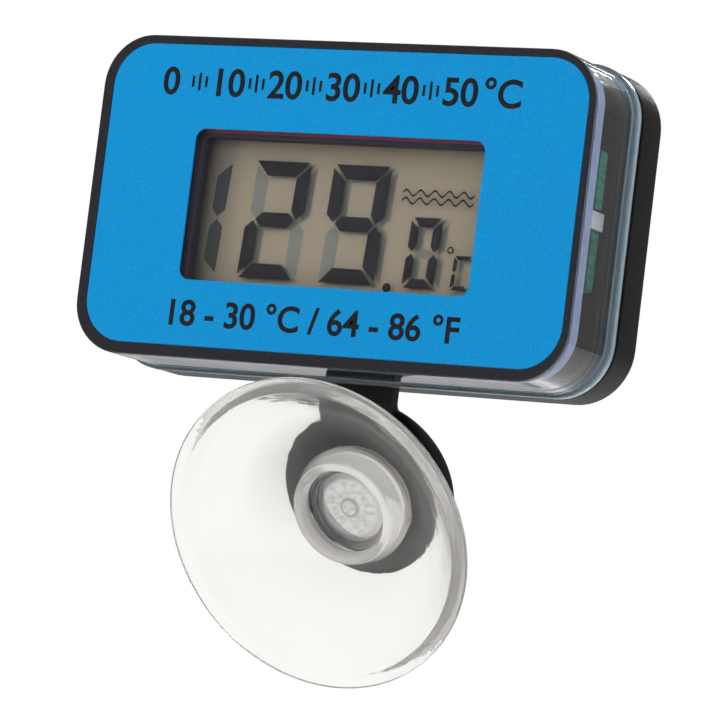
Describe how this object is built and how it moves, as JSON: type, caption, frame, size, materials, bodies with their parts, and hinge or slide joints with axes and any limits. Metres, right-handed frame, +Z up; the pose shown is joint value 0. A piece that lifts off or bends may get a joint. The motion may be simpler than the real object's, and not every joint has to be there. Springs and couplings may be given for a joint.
{
  "type": "submersible digital aquarium thermometer",
  "caption": "Small sealed thermometer with a liquid-crystal display in a clear-fronted case, a blue front film, a black back with a coin-slot battery cap and a suction cup on a leaning tab.",
  "frame": {"origin": "centre of the suction cup's seating plane, where its rim meets the tank's glass", "axes": "+Z up with the case upright, -Y out of the display, +X to the right of someone who reads it; the cup's axis lies in the YZ plane, 28 degrees below -Y"},
  "size_m": [0.056, 0.0239, 0.0636],
  "materials": {
    "clear_shell": "polished clear moulded plastic",
    "printed_film": "fine-grained printed film, blue with a black border",
    "black_plastic": "satin moulded plastic",
    "cap_plastic": "satin moulded plastic",
    "frame_plastic": "matt moulded plastic",
    "seal_rubber": "soft rubber",
    "lcd_glass": "polished glass",
    "polariser_film": "satin film",
    "reflector_film": "fine silvery grain",
    "connector_rubber": "layered silicone rubber",
    "board_laminate": "green solder mask",
    "chip_resin": "glossy drop of resin",
    "resistor_body": "glazed, tinned ends",
    "capacitor_body": "ceramic, tinned ends",
    "thermistor_resin": "dipped resin",
    "tinned_wire": "tinned",
    "cell_steel": "plated steel",
    "cell_gasket": "nylon",
    "contact_metal": "spring brass",
    "soft_pvc": "clear soft vinyl"
  },
  "bodies": {
    "suction_cup": {"suction_cup": "soft_pvc"},
    "case": {"front_shell": "clear_shell", "front_label": "printed_film", "rear_cover": "black_plastic", "case_seal": "seal_rubber", "lcd_frame": "frame_plastic", "lcd_front_polariser": "polariser_film", "lcd_front_glass": "lcd_glass", "lcd_rear_glass": "lcd_glass", "lcd_rear_polariser": "reflector_film", "lcd_connector_strip": "connector_rubber", "circuit_board": "board_laminate", "chip_blob": "chip_resin", "resistor_1": "resistor_body", "resistor_2": "resistor_body", "capacitor_1": "capacitor_body", "capacitor_2": "capacitor_body", "thermistor_bead": "thermistor_resin", "thermistor_lead_inner": "tinned_wire", "thermistor_lead_outer": "tinned_wire", "button_cell_can": "cell_steel", "button_cell_pole": "cell_steel", "button_cell_gasket": "cell_gasket", "battery_contact_pole": "contact_metal", "battery_contact_can": "contact_metal"},
    "battery_cap_ring": {"battery_cap_ring": "seal_rubber"},
    "battery_cap": {"battery_cap": "cap_plastic"}
  },
  "joints": [
    {"name": "case_turn_on_cup", "type": "hinge", "parent": "suction_cup", "child": "case", "pos_m": [0, 0.01051, 0.00559], "axis": [0, -0.8829, -0.4695], "continuous": true},
    {"name": "battery_cap_lift", "type": "slide", "parent": "case", "child": "battery_cap_ring", "axis": [0, 1, 0], "range_m": [0, 0.0015]},
    {"name": "battery_cap_turn", "type": "hinge", "parent": "battery_cap_ring", "child": "battery_cap", "pos_m": [0, 0.00955, 0.03235], "axis": [0, 1, 0], "range_deg": [0, 540]}
  ],
  "couplings": [
    {"joint": "battery_cap_turn", "follows": "battery_cap_lift", "rad_per_m": 6283.2}
  ]
}
